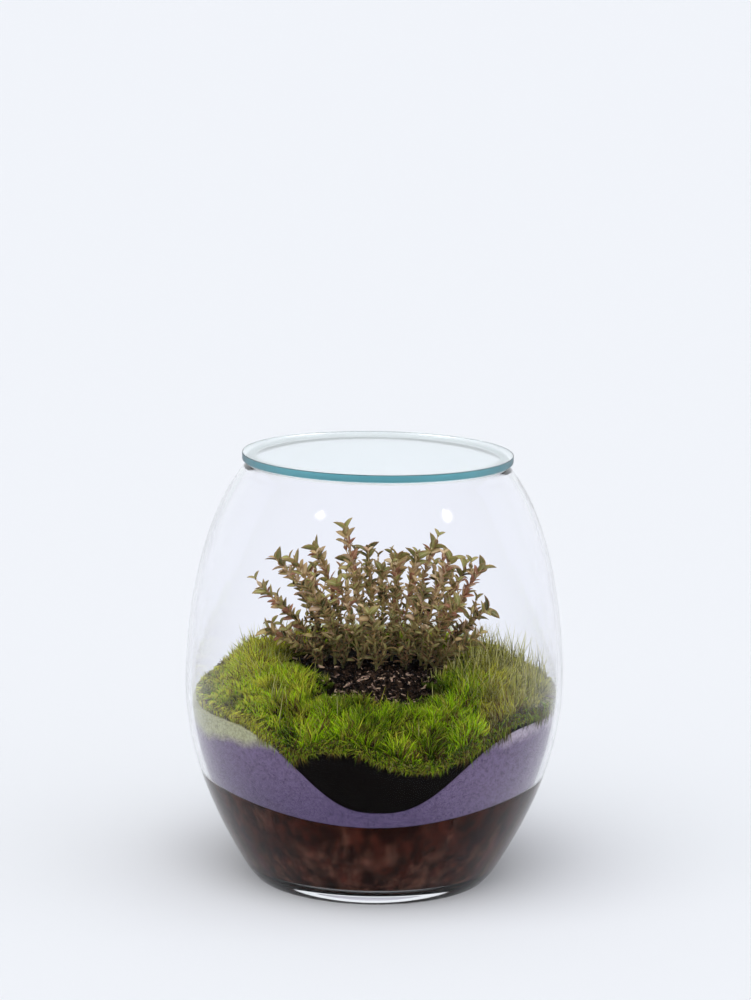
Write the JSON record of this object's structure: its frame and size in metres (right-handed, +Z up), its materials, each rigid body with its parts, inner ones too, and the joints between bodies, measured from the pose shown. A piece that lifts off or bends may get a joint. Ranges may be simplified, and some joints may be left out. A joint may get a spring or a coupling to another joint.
{
  "type": "terrarium",
  "caption": "Bellied clear glass jar with a loose glass lid, planted inside with layered gravel, sand and soil, moss and a small bushy plant.",
  "frame": {"origin": "centre of the jar's foot, on the surface it stands on", "axes": "+Z up along the jar's axis, -Y towards the front where the soil dips lowest on the glass, +X to the right"},
  "size_m": [0.208, 0.208, 0.237],
  "materials": {
    "jar_glass": "clear blown glass, fire-polished, very slightly green in its thickness",
    "lid_glass": "clear float glass disc, its ground edge teal",
    "drainage_gravel": "damp dark brown gravel and charcoal",
    "lilac_sand": "fine grey-lilac sand, paler where it is dry",
    "potting_soil": "moist black peat soil with bark crumbs",
    "moss_bright": "fresh bright green moss",
    "moss_olive": "olive yellow moss with long wispy blades",
    "moss_mid": "mid green moss",
    "leaf_bronze": "matt bronze brown leaves on thin stems",
    "leaf_tan": "matt tan brown leaves on thin stems",
    "leaf_olive": "matt olive leaves with brown tips",
    "leaf_red": "matt reddish brown leaves"
  },
  "bodies": {
    "root": {"jar": "jar_glass", "lid": "lid_glass", "drainage_layer": "drainage_gravel", "sand_layer": "lilac_sand", "potting_soil": "potting_soil", "moss_front": "moss_bright", "moss_right": "moss_olive", "moss_back_right": "moss_mid", "moss_back_left": "moss_mid", "moss_left": "moss_mid", "shoot_01": "leaf_tan", "shoot_02": "leaf_olive", "shoot_03": "leaf_red", "shoot_04": "leaf_bronze", "shoot_05": "leaf_tan", "shoot_06": "leaf_olive", "shoot_07": "leaf_red", "shoot_08": "leaf_bronze", "shoot_09": "leaf_tan", "shoot_10": "leaf_olive", "shoot_11": "leaf_red", "shoot_12": "leaf_bronze", "shoot_13": "leaf_tan", "shoot_14": "leaf_olive", "shoot_15": "leaf_red", "shoot_16": "leaf_bronze", "shoot_17": "leaf_tan", "shoot_18": "leaf_olive", "shoot_19": "leaf_red", "shoot_20": "leaf_bronze", "shoot_21": "leaf_tan", "shoot_22": "leaf_olive", "shoot_23": "leaf_red", "shoot_24": "leaf_bronze", "shoot_25": "leaf_tan"}
  },
  "joints": []
}
